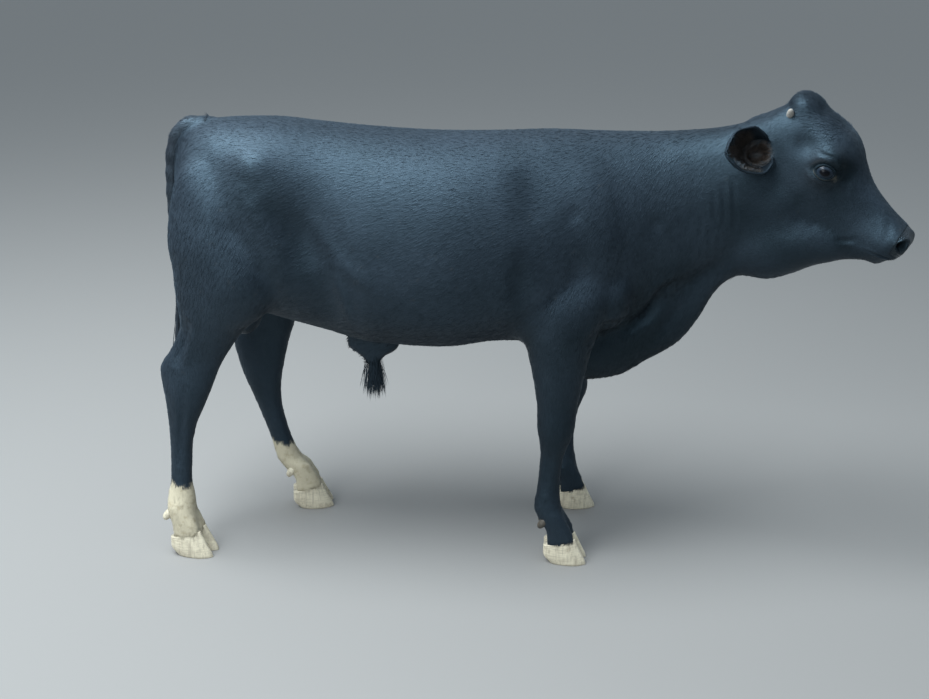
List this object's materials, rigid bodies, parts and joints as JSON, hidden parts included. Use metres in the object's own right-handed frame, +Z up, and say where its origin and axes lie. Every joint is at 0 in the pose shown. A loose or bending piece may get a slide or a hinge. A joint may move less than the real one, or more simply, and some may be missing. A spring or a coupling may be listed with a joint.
{
  "type": "bull calf model",
  "caption": "Life-size still model of a standing black bull calf with white hind socks, pale claws, a horn bud on each side of its poll and its head turned to its right.",
  "frame": {"origin": "centre of the model's bounding box on the floor that its claws stand on", "axes": "+X the way the body points, +Y the calf's left side, +Z up"},
  "size_m": [1.8111, 0.5163, 1.2158],
  "materials": {
    "torso": "short glossy black coat",
    "neck": "short glossy black coat",
    "head": "short glossy black coat",
    "ear_right": "short glossy black coat",
    "ear_left": "short glossy black coat",
    "foreleg_right": "short glossy black coat",
    "foreleg_left": "short glossy black coat",
    "hindleg_right": "short glossy black coat",
    "hindleg_left": "short glossy black coat",
    "sock_right": "short white coat",
    "eye_right": "wet dark eye",
    "horn_bud_right": "pale horn",
    "sock_left": "short white coat",
    "eye_left": "wet dark eye",
    "horn_bud_left": "pale horn",
    "claw_fore_right_right": "pale horn",
    "dewclaw_fore_right_right": "pale horn",
    "claw_fore_right_left": "pale horn",
    "dewclaw_fore_right_left": "pale horn",
    "claw_fore_left_right": "pale horn",
    "dewclaw_fore_left_right": "pale horn",
    "claw_fore_left_left": "pale horn",
    "dewclaw_fore_left_left": "pale horn",
    "claw_hind_right_right": "pale horn",
    "dewclaw_hind_right_right": "pale horn",
    "claw_hind_right_left": "pale horn",
    "dewclaw_hind_right_left": "pale horn",
    "claw_hind_left_right": "pale horn",
    "dewclaw_hind_left_right": "pale horn",
    "claw_hind_left_left": "pale horn",
    "dewclaw_hind_left_left": "pale horn",
    "tail": "short black coat",
    "tail_switch": "long black hair",
    "sheath_tuft": "long dark hair"
  },
  "bodies": {
    "root": {"torso": "torso", "neck": "neck", "head": "head", "ear_right": "ear_right", "ear_left": "ear_left", "foreleg_right": "foreleg_right", "foreleg_left": "foreleg_left", "hindleg_right": "hindleg_right", "hindleg_left": "hindleg_left", "sock_right": "sock_right", "eye_right": "eye_right", "horn_bud_right": "horn_bud_right", "sock_left": "sock_left", "eye_left": "eye_left", "horn_bud_left": "horn_bud_left", "claw_fore_right_right": "claw_fore_right_right", "dewclaw_fore_right_right": "dewclaw_fore_right_right", "claw_fore_right_left": "claw_fore_right_left", "dewclaw_fore_right_left": "dewclaw_fore_right_left", "claw_fore_left_right": "claw_fore_left_right", "dewclaw_fore_left_right": "dewclaw_fore_left_right", "claw_fore_left_left": "claw_fore_left_left", "dewclaw_fore_left_left": "dewclaw_fore_left_left", "claw_hind_right_right": "claw_hind_right_right", "dewclaw_hind_right_right": "dewclaw_hind_right_right", "claw_hind_right_left": "claw_hind_right_left", "dewclaw_hind_right_left": "dewclaw_hind_right_left", "claw_hind_left_right": "claw_hind_left_right", "dewclaw_hind_left_right": "dewclaw_hind_left_right", "claw_hind_left_left": "claw_hind_left_left", "dewclaw_hind_left_left": "dewclaw_hind_left_left", "tail": "tail", "tail_switch": "tail_switch", "sheath_tuft": "sheath_tuft"}
  },
  "joints": []
}
